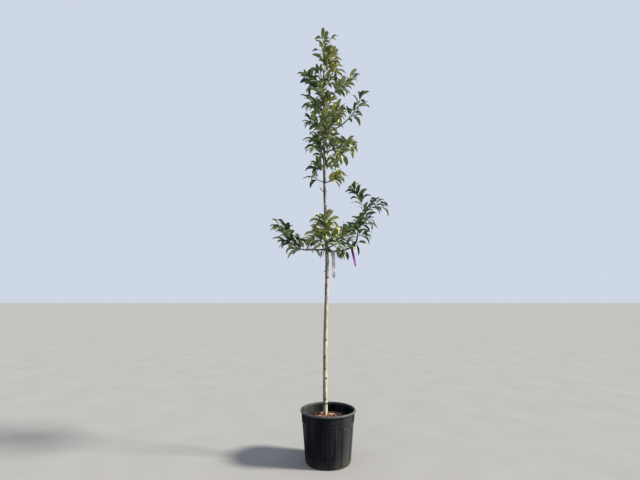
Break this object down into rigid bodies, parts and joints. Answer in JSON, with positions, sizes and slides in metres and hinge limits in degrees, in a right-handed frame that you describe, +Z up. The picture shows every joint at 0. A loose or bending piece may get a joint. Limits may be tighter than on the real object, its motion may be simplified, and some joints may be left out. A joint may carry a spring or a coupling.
{
  "type": "potted sapling",
  "caption": "Young container-grown tree with one slender straight stem, short leafy side shoots and a root ball filling a ribbed black nursery pot.",
  "frame": {"origin": "centre of the pot's flat underside", "axes": "+Z up the stem, +Y away from the viewer of the picture, +X to the viewer's right"},
  "size_m": [0.9414, 0.5923, 3.3517],
  "materials": {
    "pot_plastic": "black moulded plastic with a dusty sheen",
    "soil": "dry crumbly peat and bark compost",
    "chips": "weathered bark chips",
    "bark": "smooth grey-brown bark with small raised pores",
    "young_bark": "smooth olive-brown bark of young shoots",
    "foliage": "glossy green leaves, a few turned yellow and orange-brown",
    "label_plastic": "blank pale strip of thin plastic",
    "ribbon_plastic": "magenta ribbon of thin plastic"
  },
  "bodies": {
    "root": {"pot": "pot_plastic", "root_ball": "soil", "bark_chips": "chips", "trunk": "bark", "pruned_stub_1": "bark", "pruned_stub_2": "bark", "pruned_stub_3": "bark", "bough_low_left": "young_bark", "bough_low_right": "young_bark", "bough_low_right_bend": "young_bark", "bough_low_front": "young_bark", "bough_low_front_right": "young_bark", "bough_low_back": "young_bark", "bough_thin_left": "young_bark", "bough_mid_right": "young_bark", "bough_long_right": "young_bark", "bough_upper_left": "young_bark", "bough_upper_right": "young_bark", "label_strip": "label_plastic", "ribbon": "ribbon_plastic", "foliage_low_left": "foliage", "foliage_low_right": "foliage", "foliage_low_front": "foliage", "foliage_low_front_right": "foliage", "foliage_low_back": "foliage", "foliage_thin_left": "foliage", "foliage_mid_right": "foliage", "foliage_long_right": "foliage", "foliage_upper_left": "foliage", "foliage_upper_right": "foliage", "foliage_leader": "foliage", "foliage_spur_right": "foliage", "foliage_spur_left": "foliage", "foliage_mid_back": "foliage", "foliage_mid_left": "foliage", "foliage_crown_left": "foliage", "foliage_crown_left_top": "foliage", "foliage_crown_right": "foliage", "foliage_crown_back": "foliage", "foliage_crown_front": "foliage", "foliage_crown_back_top": "foliage", "foliage_crown_front_top": "foliage", "foliage_top_right": "foliage", "foliage_twig_1": "foliage", "foliage_twig_2": "foliage", "foliage_twig_3": "foliage", "foliage_twig_4": "foliage", "foliage_twig_5": "foliage", "foliage_twig_6": "foliage", "foliage_twig_7": "foliage", "foliage_twig_8": "foliage", "foliage_twig_9": "foliage", "foliage_twig_10": "foliage", "foliage_twig_11": "foliage", "foliage_twig_12": "foliage"}
  },
  "joints": []
}
